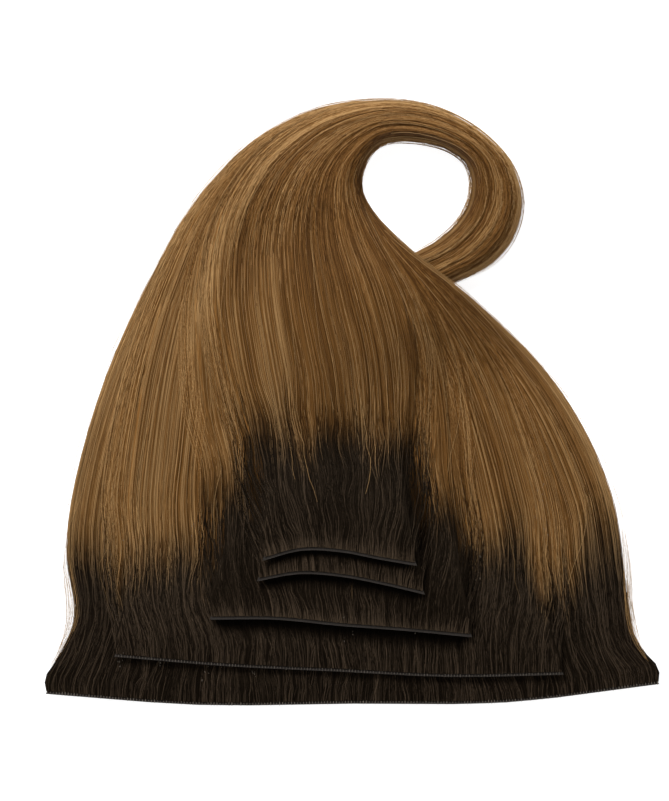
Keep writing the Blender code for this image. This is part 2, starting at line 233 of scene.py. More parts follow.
# Smooth noise over two directions, between -1 and 1
def ripples(seed, a, b):
    values = np.random.default_rng(seed).uniform(-1, 1, (64, 64))
    a = np.asarray(a) + 100.0
    b = np.asarray(b) + 100.0
    left = np.floor(a).astype(int)
    low = np.floor(b).astype(int)
    s = ease(a - left)
    t = ease(b - low)
    lower = mix(values[left % 64, low % 64], values[(left + 1) % 64, low % 64], s)
    upper = mix(values[left % 64, (low + 1) % 64], values[(left + 1) % 64, (low + 1) % 64], s)
    return mix(lower, upper, t)


# How far the hair stands aside from the combed lines behind a band, where it is drawn in at the ends and wavy
sway = {
    # By weft, left and right: how far it is drawn in, how far behind the band that starts and ends, and the
    # length over which it ends
    "drawn": {
        1: ((0.0047, 0.008, 0.026, 0.024), (0.0034, 0.002, 0.028, 0.085)),
        2: ((0.0028, 0.008, 0.036, 0.024), (0.0016, 0.008, 0.036, 0.024)),
        3: ((0.0042, 0.008, 0.052, 0.024), (0.0014, 0.008, 0.052, 0.024)),
        4: ((0.0012, 0.008, 0.040, 0.024), (0.0008, 0.008, 0.040, 0.024)),
        5: ((0.0010, 0.008, 0.040, 0.024), (0.0008, 0.008, 0.040, 0.024)),
    },
    "drawLength": 0.019,
    "bulge": {1: 0.0026, 2: 0.0010, 3: 0.0006, 4: 0.0002, 5: 0.0002},
    "bulgeAt": 0.005,       # behind the band
    "bulgeSize": 0.0045,
    "wave": 0.0020,
    "waveAcross": 0.017,
    "waveAlong": 0.022,
    "rise": 0.012,          # behind the band, where the waves are at their full height
    "calmFrom": 0.030,      # and where they begin to calm down to the rest
    "calmLength": 0.050,
    "rest": 0.0005,
}


def swayed(weft, v, plan, behind):
    side = np.clip(v, -1, 1)
    outer = np.sign(side) * np.abs(side) ** 3
    sides = zip(*sway["drawn"][weft["number"]])
    pinch, start, release, length = [np.where(side < 0, left, right) for left, right in sides]
    drawn = ease((behind - start) / sway["drawLength"]) * (1 - ease((behind - release) / length)) * pinch
    bulge = np.exp(-(((behind - sway["bulgeAt"]) / sway["bulgeSize"]) ** 2))
    drawn = drawn - sway["bulge"][weft["number"]] * bulge
    nearBand = 1 - ease((behind - sway["calmFrom"]) / sway["calmLength"])
    strength = ease(behind / sway["rise"]) * mix(sway["rest"], sway["wave"], nearBand)
    strength = strength * (1 - gathered(behind + weft["rootReach"])) * (1 - np.abs(side) ** 6)
    wave = ripples(weft["number"] + 40, plan[..., 0] / sway["waveAcross"], behind / sway["waveAlong"])
    across = plan[..., 0] / sway["waveAcross"] * 2.7
    fine = ripples(weft["number"] + 60, across, behind / sway["waveAlong"] * 1.8)
    moved = plan.copy()
    moved[..., 0] += -outer * drawn + strength * (wave + 0.5 * fine)
    return moved


# Lighter and darker lanes that follow the hair: random lanes of the hair's own tone, listed streaks of
# painted highlight and painted shade, and a painted highlight just behind each band
lanes = {
    "coarse": 0.0060,       # widths of the lanes: in general, of finer ones, and where the hair is gathered
    "fine": 0.0021,
    "loop": 0.024,
    "weights": (0.6, 0.5, 1.1),
    "drift": (0.003, 0.02, 0.05),   # how far the lanes wander aside, and over what width and length
    "rootShare": 0.35,      # how strong the lanes are at the roots
    "rootsEnd": 0.03,
    "rootsFade": 0.03,
    "streakFade": 0.025,
    "bandHighlight": {1: 0.2, 2: 0.0, 3: 3.0, 4: 2.2, 5: 3.0},     # painted highlight just behind a band, where the hair bends down over its rim
    "bandHighlightLength": 0.0034,
    "atRoot": {1: -0.1, 2: 0.5, 3: -0.7, 4: -0.3, 5: -0.6},
    "lightAndShadeStreaks": [            # painted highlights and painted shade, lighter on the lit left side and the bend, darker in the valley and on the right: u in the middle, half width in u, reach from and to, strength
        (-0.72, 0.24, 0.050, 0.300, 0.70),
        (0.00, 4.00, 0.030, 0.165, 0.75),
        (0.00, 4.00, 0.215, 0.330, -0.45),
        (-0.62, 0.07, 0.130, 0.290, 1.90),
        (-0.97, 0.25, 0.190, 0.310, 1.00),
        (0.97, 0.12, 0.050, 0.200, -0.90),
        (0.58, 0.25, 0.195, 0.245, -2.40),
        (-0.97, 0.10, 0.150, 0.330, 0.70),
        (-0.98, 0.14, 0.030, 0.120, -0.60),
        (0.55, 0.62, 0.060, 0.215, -0.50),
        (0.10, 0.45, 0.120, 0.215, -0.45),
        (0.45, 0.24, 0.165, 0.232, -0.75),
        (0.90, 0.30, 0.110, 0.225, -0.60),
        (0.70, 0.40, 0.215, 0.310, -1.80),
        (0.10, 0.20, 0.225, 0.300, -0.80),
        (-0.15, 0.09, 0.225, 0.320, 0.45),
    ],
}


def laneOf(weft, u, reach, behind):
    across = u * laid["spreadWidth"] / 2
    aside, width, length = lanes["drift"]
    place = across + aside * ripples(90, across / width, reach / length)
    coarse, fine, loop = lanes["weights"]
    lane = coarse * wander(91, place, lanes["coarse"]) + fine * wander(92, place, lanes["fine"])
    lane = lane + loop * gathered(reach) * wander(93, place, lanes["loop"])
    # Streaks of painted highlight and painted shade
    for middle, half, start, end, strength in lanes["lightAndShadeStreaks"]:
        along = ease((reach - start) / lanes["streakFade"]) * ease((end - reach) / lanes["streakFade"])
        lane = lane + strength * along * np.exp(-(((u - middle) / half) ** 2))
    pastRoots = ease((behind - lanes["rootsEnd"]) / lanes["rootsFade"])
    lane = mix(lane * lanes["rootShare"] + lanes["atRoot"][weft["number"]], lane, pastRoots)
    # Painted highlight on the hair just behind its own band
    return lane + lanes["bandHighlight"][weft["number"]] * np.exp(-behind / lanes["bandHighlightLength"])


# Painted rim light: where the outline of the laid hair is painted lighter, how much, and how narrow the
# lighter part is
paintedRimLight = {"spread": (0.4, 50), "loopOutside": (1.0, 24), "loopInside": (0.3, 60)}


def paintedRimLightOf(u, v, reach):
    inLoop = ease((reach - loopStart + 0.02) / 0.03)

    def lighter(part, place):
        strength, power = paintedRimLight[part]
        return strength * np.clip(np.abs(place), 0, 1) ** power

    loop = np.where(v < 0, lighter("loopOutside", v), lighter("loopInside", v))
    return np.maximum(lighter("spread", u), inLoop * loop)


# Depth of the painted shadow strip in front of each band but the first, by its number: there the hair is
# painted near black as if in the raised band's shadow
bandShadowDepth = {2: 0.0005, 3: 0.0080, 4: 0.0060, 5: 0.0033}
coveredFrom = 0.008         # behind the next band's front, where nothing of this weft shows
farFromBand = 5.0           # past every strip


# Distance in front of the next band as a share of its painted shadow strip: 0 at the band, 1 where the strip
# ends
def aheadOf(weft, plan):
    ahead = np.full(plan.shape[:-1], farFromBand)
    if weft["number"] < len(wefts):
        upper = wefts[weft["number"]]
        half = upper["width"] * laid["spreadWidth"] / 2
        ahead = upper["frontAt"](plan[..., 0]) - plan[..., 1]
        aside = np.abs(plan[..., 0] - upper["centre"] * laid["spreadWidth"]) - half + 0.004
        near = mix(ahead, np.maximum(ahead, 0.0), np.clip(aside / 0.001, 0, 1)) / bandShadowDepth[upper["number"]]
        ahead = np.where(ahead < -coveredFrom, farFromBand, near) + np.maximum(aside, 0.0) / 0.005
    return np.stack((ahead, np.zeros_like(ahead), np.zeros_like(ahead)), axis=-1)


# Where the dark roots end: locks whose lighter part starts nearer to the band, or further off where the last
# number is negative, by weft: x, half width, shift
fadeLine = {
    "locks": {
        1: [
            (-0.0940, 0.0100, -0.011), (0.0760, 0.0040, 0.010), (0.1000, 0.0060, -0.007),
            (0.0880, 0.0070, -0.010),
        ],
        2: [
            (-0.0835, 0.0016, 0.017), (-0.0790, 0.0060, 0.005), (0.0690, 0.0040, 0.014),
            (-0.0510, 0.0060, 0.012), (0.0580, 0.0060, -0.008),
        ],
        3: [(0.0420, 0.0040, 0.004)],
        5: [(-0.0045, 0.0200, 0.0025)],
    },
    "uneven": 0.0060,
    "size": 0.0085,
}


def fadeDistance(weft, plan, behind):
    x = plan[..., 0]
    shift = fadeLine["uneven"] * ripples(weft["number"] + 110, x / fadeLine["size"], behind / 0.03)
    finer = ripples(weft["number"] + 120, x / fadeLine["size"] * 3.1, behind / 0.02)
    shift = shift + fadeLine["uneven"] * 0.4 * finer
    for middle, half, strength in fadeLine["locks"].get(weft["number"], []):
        shift = shift + strength * np.exp(-(((x - middle) / half) ** 2))
    return behind + shift * ease(behind / 0.02)


def castBoth(tree, x, y, upwards):
    start = Vector((x, y, -1.0 if upwards else 1.0))
    way = Vector((0.0, 0.0, 1.0 if upwards else -1.0))
    first = tree.ray_cast(start, way)[0]
    if first is None:
        return None
    second = tree.ray_cast(first + way * 0.00002, way)[0]
    if second is None:
        return None
    return (first.z, second.z) if upwards else (second.z, first.z)


def fillGaps(values):
    for row in values:
        known = ~np.isnan(row)
        if known.any():
            row[:] = np.interp(np.arange(len(row)), np.flatnonzero(known), row[known])
    for column in values.T:
        known = ~np.isnan(column)
        column[:] = np.interp(np.arange(len(column)), np.flatnonzero(known), column[known])


def soften(values, times):
    for step in range(times):
        padded = np.pad(values, 1, mode="edge")
        values = (padded[1:-1, :-2] + 2 * values + padded[1:-1, 2:]) / 4
        padded = np.pad(values, 1, mode="edge")
        values = (padded[:-2, 1:-1] + 2 * values + padded[2:, 1:-1]) / 4
    return values


# The body of each weft's hair
hairBody = {
    "columns": (36, 48),    # for every weft, and more by its share of the widest
    "spreadStep": 0.0034,
    "loopStep": 0.0026,
    "softening": 2,
    "lockSizes": (0.017, 0.007, 0.003),
    "lockHeights": (0.00035, 0.00022, 0.00012),
    "lockDrift": 0.07,
    "puffs": (0.0004, 0.012, 0.016),    # height near the band, and size across and along
    "thinnest": 0.0003,
    "fromEnds": 0.0004,     # where the solid is felt at the first and the last section
    "sunk": 0.0003,         # how far the body lies below the tops of its hairs
}


def layHair(weft):
    number = weft["number"]
    few, more = hairBody["columns"]
    v = np.linspace(-1, 1, int(few + more * weft["width"]))
    v = np.sign(v) * (1 - (1 - np.abs(v)) ** 1.15)
    start, end = weft["rootReach"], weft["tipReach"]
    places = sectionPlaces(start, end, hairBody["spreadStep"], hairBody["loopStep"])
    reach = sectionReach(weft, v, places)
    u = uAt(weft, v[None, :], reach)
    plan = combedPoint(u, reach)
    behind = reach - reach[0][None, :]
    plan = swayed(weft, v[None, :], plan, behind)
    fromEnds = hairBody["fromEnds"]
    felt = sectionReach(weft, v, np.clip(places, places[0] + fromEnds, places[-1] - fromEnds))
    feltPlan = combedPoint(uAt(weft, v[None, :] * 0.985, felt), felt)
    feltPlan = swayed(weft, v[None, :], feltPlan, behind)
    tree = nodeTree(f"weft_{number}_hair")
    low = np.full(reach.shape, np.nan)
    high = np.full(reach.shape, np.nan)
    for row in range(reach.shape[0]):
        upwards = places[row] >= turnStart
        for column in range(reach.shape[1]):
            hit = castBoth(tree, *feltPlan[row, column], upwards)
            if hit is not None:
                low[row, column], high[row, column] = hit
    fillGaps(low)
    fillGaps(high)
    low = soften(low, hairBody["softening"])
    high = soften(high, hairBody["softening"])
    across = u * laid["spreadWidth"] / 2
    relief = np.zeros_like(reach)
    for step, (size, height) in enumerate(zip(hairBody["lockSizes"], hairBody["lockHeights"])):
        drift = wander(number * 10 + step, reach, hairBody["lockDrift"]) * size * 0.6
        relief += height * wander(number * 20 + step, across + drift, size)
    thick = np.maximum(high - low, hairBody["thinnest"])
    height, width, length = hairBody["puffs"]
    puffs = ripples(number + 70, plan[..., 0] / width, behind / length)
    relief += height * puffs * (1 - ease((behind - lanes["rootsEnd"]) / lanes["rootsFade"]))
    relief = np.clip(relief * ease(behind / 0.01), -0.6 * thick, 0.6 * thick) * (1 - np.abs(v[None, :]) ** 12)
    thick = (thick + relief) * mix(0.4, 1.0, ease(behind / 0.006))
    edge = paintedRimLightOf(u, v[None, :] + 0 * reach, reach)
    weft["lay"] = {"v": v, "places": places, "reach": reach, "u": u, "behind": behind, "edge": edge}
    weft["under"] = np.concatenate((plan, low[..., None]), axis=-1)
    weft["over"] = np.concatenate((plan, (low + thick)[..., None]), axis=-1)
    sunk = np.minimum(hairBody["sunk"], thick * 0.4)[..., None]
    weft["core"] = np.concatenate((plan, (low + thick)[..., None] - sunk), axis=-1)


def gridFaces(rows, columns):
    here = (np.arange(rows - 1)[:, None] * columns + np.arange(columns - 1)[None, :]).ravel()
    return np.stack((here, here + 1, here + columns + 1, here + columns), axis=1)


def addAttribute(mesh, name, values):
    attribute = mesh.attributes.new(name, "FLOAT_VECTOR", "POINT")
    attribute.data.foreach_set("vector", np.asarray(values, dtype=np.float32).ravel())


def newPiece(name, mesh, material):
    piece = bpy.data.objects.new(name, mesh)
    bpy.context.scene.collection.objects.link(piece)
    if material is not None:
        mesh.materials.clear()
        mesh.materials.append(material)
    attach(piece, "root")
    return piece


def hairMesh(name, weft):
    under, over = weft["under"], weft["core"]
    rows, columns = under.shape[:2]
    count = rows * columns
    points = np.concatenate((over.reshape(-1, 3), under.reshape(-1, 3)))
    top = gridFaces(rows, columns)
    bottom = gridFaces(rows, columns)[:, ::-1] + count
    side = np.arange(rows - 1) * columns
    left = np.stack((side, side + columns, side + columns + count, side + count), axis=1)
    side = side + columns - 1
    right = np.stack((side + columns, side, side + count, side + columns + count), axis=1)
    line = np.arange(columns - 1)
    front = np.stack((line + 1, line, line + count, line + 1 + count), axis=1)
    line = line + (rows - 1) * columns
    back = np.stack((line, line + 1, line + 1 + count, line + count), axis=1)
    faces = np.concatenate((top, bottom, left, right, front, back))
    mesh = bpy.data.meshes.new(name)
    mesh.from_pydata(points.tolist(), [], faces.tolist())
    mesh.shade_smooth()
    lay = weft["lay"]
    # The pattern goes on over the sides, so the underside's place across counts the sides' height as well
    across = lay["u"] * laid["spreadWidth"] / 2
    layer = np.full(across.shape, weft["number"] * 0.5)
    below = across + np.sign(across - across.mean()) * (weft["over"] - weft["under"])[..., 2]
    upper, lower = [np.stack((x, lay["reach"], layer), axis=-1).reshape(-1, 3) for x in (across, below)]
    addAttribute(mesh, "lay", np.concatenate((upper, lower)))
    fade = fadeDistance(weft, over, lay["behind"])
    lane = laneOf(weft, lay["u"], lay["reach"], lay["behind"])
    combing = np.stack((fade, lay["edge"], lane), axis=-1).reshape(-1, 3)
    addAttribute(mesh, "combing", np.tile(combing, (2, 1)))
    # Where the painted shadow in front of the next band falls
    addAttribute(mesh, "ahead", np.tile(aheadOf(weft, over).reshape(-1, 3), (2, 1)))
    # A map for baking: the upper side on the left half, the underside on the right, the rims between
    x = np.tile(np.linspace(0.0, 0.47, columns), rows)
    y = np.repeat(np.linspace(0.01, 0.99, rows), columns)
    flat = np.concatenate((np.stack((x, y), axis=1), np.stack((x + 0.53, y), axis=1)))
    corners = flat[faces.ravel()].reshape(-1, 4, 2)
    first = len(top) + len(bottom)
    for faceCount, place in ((len(left), 0.475), (len(right), 0.49)):
        chosen = slice(first, first + faceCount)
        corners[chosen, :, 0] = place + np.array([0.0, 0.0, 0.01, 0.01])
        first += faceCount
    for faceCount, place in ((len(front), 0.0), (len(back), 0.992)):
        chosen = slice(first, first + faceCount)
        corners[chosen, 2:, 0] -= 0.53
        corners[chosen, :, 1] = place + np.array([0.0, 0.0, 0.008, 0.008])
        first += faceCount
    mesh.uv_layers.new(name="OFBake").data.foreach_set("uv", corners.ravel())
    return mesh


# Node trees
def addNode(tree, kind, inputs=None, **settings):
    node = tree.nodes.new(kind)
    for name, value in settings.items():
        setattr(node, name, value)
    for key, value in (inputs or {}).items():
        if isinstance(value, bpy.types.NodeSocket):
            tree.links.new(value, node.inputs[key])
        else:
            node.inputs[key].default_value = value
    return node


def firstOf(tree, kind, inputs=None, **settings):
    return addNode(tree, kind, inputs, **settings).outputs[0]


def calc(tree, operation, *values):
    return firstOf(tree, "ShaderNodeMath", dict(enumerate(values)), operation=operation)


def between(tree, value, low, high, start, end):
    inputs = {0: value, 1: low, 2: high, 3: start, 4: end}
    return firstOf(tree, "ShaderNodeMapRange", inputs, interpolation_type="SMOOTHSTEP")


def newTree(name, kind, inputs, outputs):
    tree = bpy.data.node_groups.new(name, kind)
    for socketName, socketKind, value in inputs:
        socket = tree.interface.new_socket(name=socketName, in_out="INPUT", socket_type=socketKind)
        if value is not None:
            socket.default_value = value
    for socketName, socketKind in outputs:
        tree.interface.new_socket(name=socketName, in_out="OUTPUT", socket_type=socketKind)
    return tree, tree.nodes.new("NodeGroupInput").outputs, tree.nodes.new("NodeGroupOutput").inputs


# A tree that makes a mesh: whole numbers and lengths as given, a geometry before them and a material after
def newMeshTree(name, values):
    kinds = {int: "NodeSocketInt", float: "NodeSocketFloat"}
    inputs = [("Geometry", "NodeSocketGeometry", None)]
    inputs += [(label, kinds[type(value)], value) for label, value in values.items()]
    inputs.append(("Material", "NodeSocketMaterial", None))
    return newTree(name, "GeometryNodeTree", inputs, [("Geometry", "NodeSocketGeometry")])


def finishMesh(tree, mesh, given, result):
    mesh = firstOf(tree, "GeometryNodeRealizeInstances", {0: mesh})
    mesh = firstOf(tree, "GeometryNodeSetShadeSmooth", {0: mesh})
    mesh = firstOf(tree, "GeometryNodeSetMaterial", {0: mesh, 2: given["Material"]})
    tree.links.new(mesh, result[0])
    return tree


def named(tree, name, kind):
    return firstOf(tree, "GeometryNodeInputNamedAttribute", {0: name}, data_type=kind)


def store(tree, geometry, name, kind, domain, value):
    inputs = {0: geometry, 2: name, 3: value}
    return firstOf(tree, "GeometryNodeStoreNamedAttribute", inputs, data_type=kind, domain=domain)


strandInputs = {
    "Count": 400, "Sections": 20, "From": 0.0, "Start scatter": 0.0, "Length": 1.0, "Length scatter": 0.1,
    "Spread": 1.0, "Left": 0.0, "Right": 1.0, "Wander": 0.004, "Turns": 3.0, "Curl": 0.0, "Own curl": 0.0,
    "Tufts": 40.0, "Curl turns": 30.0, "Curl end": 0.2, "Lift": 0.0001, "Lift scatter": 0.0002, "Loft": 0.0,
    "Radius": 0.00015, "Radius scatter": 0.4, "Taper": 0.15, "Tone low": 0.0, "Tone high": 1.0, "Seed": 1,
}


# Hairs that follow a guide sheet: each runs along it at its own place across
def makeStrandTree():
    tree, given, result = newMeshTree("combed hairs", strandInputs)

    def sumOf(operation):
        return lambda *values: calc(tree, operation, *values)

    operations = ("ADD", "SUBTRACT", "MULTIPLY", "MULTIPLY_ADD", "DIVIDE")
    add, less, times, timesAdd, over = [sumOf(operation) for operation in operations]
    line = addNode(tree, "GeometryNodeCurvePrimitiveLine", {0: (0, 0, 0), 1: (0, 1, 0)})
    line = addNode(tree, "GeometryNodeResampleCurve", {0: line.outputs[0], 2: given["Sections"]})
    starts = addNode(tree, "GeometryNodeMeshLine", {0: given["Count"], 3: (0, 0, 0)})
    inputs = {0: starts.outputs[0], 2: line.outputs[0]}
    hairs = firstOf(tree, "GeometryNodeInstanceOnPoints", inputs)
    index = firstOf(tree, "GeometryNodeInputIndex")
    hairs = store(tree, hairs, "strand", "INT", "INSTANCE", index)
    hairs = firstOf(tree, "GeometryNodeRealizeInstances", {0: hairs})
    place = firstOf(tree, "GeometryNodeInputPosition")
    along = addNode(tree, "ShaderNodeSeparateXYZ", {0: place}).outputs[1]
    hairs = store(tree, hairs, "along", "FLOAT", "POINT", along)
    along = named(tree, "along", "FLOAT")
    strand = named(tree, "strand", "INT")

    def chance(low, high, salt):
        inputs = {2: low, 3: high, 7: strand, 8: add(given["Seed"], salt)}
        return addNode(tree, "FunctionNodeRandomValue", inputs, data_type="FLOAT").outputs[1]

    def noiseOf(a, b, c):
        place = firstOf(tree, "ShaderNodeCombineXYZ", {0: a, 1: b, 2: c})
        inputs = {0: place, 2: 1.0, 3: 1.0}
        return firstOf(tree, "ShaderNodeTexNoise", inputs, noise_dimensions="3D")

    share = over(add(strand, chance(0.0, 1.0, 11)), given["Count"])
    wide = less(given["Right"], given["Left"])
    x = timesAdd(share, wide, given["Left"])
    start = timesAdd(given["Start scatter"], chance(0.0, 1.0, 12), given["From"])
    shorter = times(given["Length scatter"], chance(0.0, 1.0, 13))
    length = times(given["Length"], less(1.0, shorter))
    y = timesAdd(calc(tree, "POWER", along, given["Spread"]), length, start)
    turns = times(y, given["Turns"])
    stranger = timesAdd(strand, 7.31, given["Seed"])
    aside = less(noiseOf(stranger, turns, 0.0), 0.5)
    aside = times(aside, given["Wander"])
    x = timesAdd(aside, 2.0, x)
    curled = times(y, given["Curl turns"])
    tufts = times(share, given["Tufts"])
    tuft = noiseOf(tufts, curled, given["Seed"])
    own = noiseOf(stranger, times(curled, 1.3), 3.7)
    curl = times(less(tuft, 0.5), given["Curl"])
    curl = timesAdd(less(own, 0.5), given["Own curl"], curl)
    nearRoot = over(y, given["Curl end"])
    curl = times(curl, between(tree, nearRoot, 0.5, 1.0, 2.0, 0.0))
    curl = times(curl, between(tree, nearRoot, 0.0, 0.12, 0.0, 1.0))
    x = calc(tree, "PINGPONG", add(x, curl), 1.0)
    x = calc(tree, "MINIMUM", calc(tree, "MAXIMUM", x, 0.0005), 0.9995)
    y = calc(tree, "MINIMUM", calc(tree, "MAXIMUM", y, 0.0005), 0.9995)
    spot = firstOf(tree, "ShaderNodeCombineXYZ", {0: x, 1: y})

    def sampled(value):
        guideMap = named(tree, "guide", "FLOAT_VECTOR")
        inputs = {0: given["Geometry"], 1: value, 2: guideMap, 3: spot}
        return firstOf(tree, "GeometryNodeSampleUVSurface", inputs, data_type="FLOAT_VECTOR")

    combing = sampled(named(tree, "combing", "FLOAT_VECTOR"))
    position = sampled(addNode(tree, "GeometryNodeInputPosition").outputs[0])
    ahead = sampled(named(tree, "ahead", "FLOAT_VECTOR"))
    hairs = store(tree, hairs, "combing", "FLOAT_VECTOR", "POINT", combing)
    hairs = store(tree, hairs, "ahead", "FLOAT_VECTOR", "POINT", ahead)
    arch = times(calc(tree, "SINE", times(along, math.pi)), given["Loft"])
    lift = timesAdd(given["Lift scatter"], chance(-1.0, 1.0, 14), given["Lift"])
    lift = timesAdd(arch, chance(0.0, 1.0, 15), lift)
    offset = firstOf(tree, "ShaderNodeCombineXYZ", {2: lift})
    hairs = firstOf(tree, "GeometryNodeSetPosition", {0: hairs, 2: position, 3: offset})
    tone = chance(given["Tone low"], given["Tone high"], 16)
    tone = add(tone, less(own, 0.5))
    hairs = store(tree, hairs, "tone", "FLOAT", "POINT", tone)
    radius = timesAdd(given["Radius scatter"], chance(-1.0, 1.0, 17), 1.0)
    radius = times(radius, given["Radius"])
    fromEnd = less(1.0, along)
    radius = times(radius, between(tree, fromEnd, 0.0, given["Taper"], 0.12, 1.0))
    profile = firstOf(tree, "GeometryNodeCurvePrimitiveCircle", {0: 3, 4: 1.0})
    around = over(addNode(tree, "GeometryNodeInputIndex").outputs[0], 3.0)
    profile = store(tree, profile, "around", "FLOAT", "POINT", around)
    inputs = {0: hairs, 1: profile, 2: radius, 3: True}
    mesh = firstOf(tree, "GeometryNodeCurveToMesh", inputs)
    around = timesAdd(named(tree, "around", "FLOAT"), 1.2, 0.1)
    mapX = over(add(strand, around), given["Count"])
    mapY = timesAdd(along, 0.98, times(around, 0.01))
    mapAt = firstOf(tree, "ShaderNodeCombineXYZ", {0: mapX, 1: mapY})
    mesh = store(tree, mesh, "OFBake", "FLOAT2", "CORNER", mapAt)
    for name in ("strand", "along", "around"):
        mesh = firstOf(tree, "GeometryNodeRemoveAttribute", {0: mesh, "Name": name})
    return finishMesh(tree, mesh, given, result)


# The mesh that a tree makes from a source mesh, with its inputs set by name
def runTree(name, tree, mesh, values):
    source = bpy.data.objects.new(name, mesh)
    bpy.context.scene.collection.objects.link(source)
    modifier = source.modifiers.new("nodes", "NODES")
    modifier.node_group = tree
    for item in tree.interface.items_tree:
        if item.item_type == "SOCKET" and item.in_out == "INPUT" and item.name in values:
            modifier[item.identifier] = values[item.name]
    ready = source.evaluated_get(bpy.context.evaluated_depsgraph_get())
    made = bpy.data.meshes.new_from_object(ready)
    made.name = name
    bpy.data.objects.remove(source)
    return made


def joined(name, meshes):
    whole = bmesh.new()
    for mesh in meshes:
        whole.from_mesh(mesh)
    result = bpy.data.meshes.new(name)
    whole.to_mesh(result)
    whole.free()
    return result


# Colours of the hair
hairColours = {
    # near black of the painted shadow in front of the next band
    "bandShadow": (0.0010, 0.0007, 0.0005),
    "root": (0.0064, 0.0043, 0.0026),
    "rootLight": (0.078, 0.054, 0.035),
    "length": (0.184, 0.086, 0.024),
    "lengthDark": (0.070, 0.029, 0.008),
    "lengthLight": (0.470, 0.290, 0.125),
    "fadeFrom": 0.032,      # behind the band, where the roots' colour ends
    "fadeTo": 0.062,
    "scatter": 0.006,       # how much earlier that is for a lighter hair
    "lane": 0.22,           # weight of the lanes
    "edge": 0.8,            # weight of the painted rim light on the outline
    "rootTones": (0.35, 1.35),      # tones at which the colours above begin and are reached
    "lightTones": (0.55, 1.25),
    "darkTones": (-0.1, 0.45),
    "light": 0.75,          # how much of the light and dark colours there is at the most
    "dark": 0.9,
    "roughness": (0.46, 0.36),      # of a dark and a light hair
    "specular": 0.06,
    "shine": (1.0, 0.72, 0.48, 1.0),
}


# The hair's colour: its ombre from dark roots and its random tone, with painted rim light, painted highlights
# and shade, and the painted shadow in front of the next band
def makeHairColour():
    inputs = [
        ("Combing", "NodeSocketVector", None),
        ("Ahead", "NodeSocketVector", None),
        ("Tone", "NodeSocketFloat", 0.5),
    ]
    outputs = [("Colour", "NodeSocketColor"), ("Gloss", "NodeSocketFloat")]
    tree, given, result = newTree("ombre hair and painted light", "ShaderNodeTree", inputs, outputs)
    parts = addNode(tree, "ShaderNodeSeparateXYZ", {0: given["Combing"]}).outputs
    tone = calc(tree, "MULTIPLY_ADD", parts[2], hairColours["lane"], given["Tone"])
    scattered = calc(tree, "SUBTRACT", tone, 0.5)
    behind = calc(tree, "MULTIPLY_ADD", scattered, hairColours["scatter"] * 2, parts[0])
    fade = between(tree, behind, hairColours["fadeFrom"], hairColours["fadeTo"], 0.0, 1.0)

    def blendOf(factor, a, b):
        a, b = [value if isinstance(value, bpy.types.NodeSocket) else (*value, 1.0) for value in (a, b)]
        return addNode(tree, "ShaderNodeMix", {0: factor, 6: a, 7: b}, data_type="RGBA").outputs[2]

    rootMix = between(tree, tone, *hairColours["rootTones"], 0.0, 1.0)
    rootColour = blendOf(rootMix, hairColours["root"], hairColours["rootLight"])
    # Painted rim light along the outline
    edge = calc(tree, "MULTIPLY", parts[1], hairColours["edge"])
    lightness = between(tree, tone, *hairColours["lightTones"], 0.0, 1.0)
    lightness = calc(tree, "MULTIPLY_ADD", lightness, hairColours["light"], edge)
    lightness = calc(tree, "MINIMUM", lightness, 1.0)
    darkness = between(tree, tone, *hairColours["darkTones"], hairColours["dark"], 0.0)
    lengthColour = blendOf(darkness, hairColours["length"], hairColours["lengthDark"])
    lengthColour = blendOf(lightness, lengthColour, hairColours["lengthLight"])
    colour = blendOf(fade, rootColour, lengthColour)
    # Painted shadow: the hair in the strip in front of the next band is darkened to near black
    ahead = firstOf(tree, "ShaderNodeSeparateXYZ", {0: given["Ahead"]})
    bandShadow = between(tree, ahead, 0.25, 1.0, 0.95, 0.0)
    tree.links.new(blendOf(bandShadow, colour, hairColours["bandShadow"]), result[0])
    tree.links.new(between(tree, tone, 0.0, 1.0, *hairColours["roughness"]), result[1])
    return tree


def newMaterial(name):
    material = bpy.data.materials.new(name)
    material.use_nodes = True
    return material, material.node_tree, material.node_tree.nodes["Principled BSDF"]


def attributeOf(tree, name, output):
    return addNode(tree, "ShaderNodeAttribute", attribute_name=name).outputs[output]


# Streaks of the bodies, for the length of the hair, its roots and its gathered part: scale, detail,
# roughness and distortion
bodyStreaks = [
    ((420.0, 9.0, 1.0), 5.0, 0.7, 0.0),
    ((1500.0, 100.0, 1.0), 4.0, 0.65, 0.9),
    ((110.0, 7.0, 1.0), 4.0, 0.75, 0.0),
]


def streaksOf(tree, place, scale, detail, roughness, distortion):
    place = firstOf(tree, "ShaderNodeMapping", {0: place, 3: scale})
    inputs = {0: place, 2: 1.0, 3: detail, 4: roughness, "Distortion": distortion}
    return firstOf(tree, "ShaderNodeTexNoise", inputs)


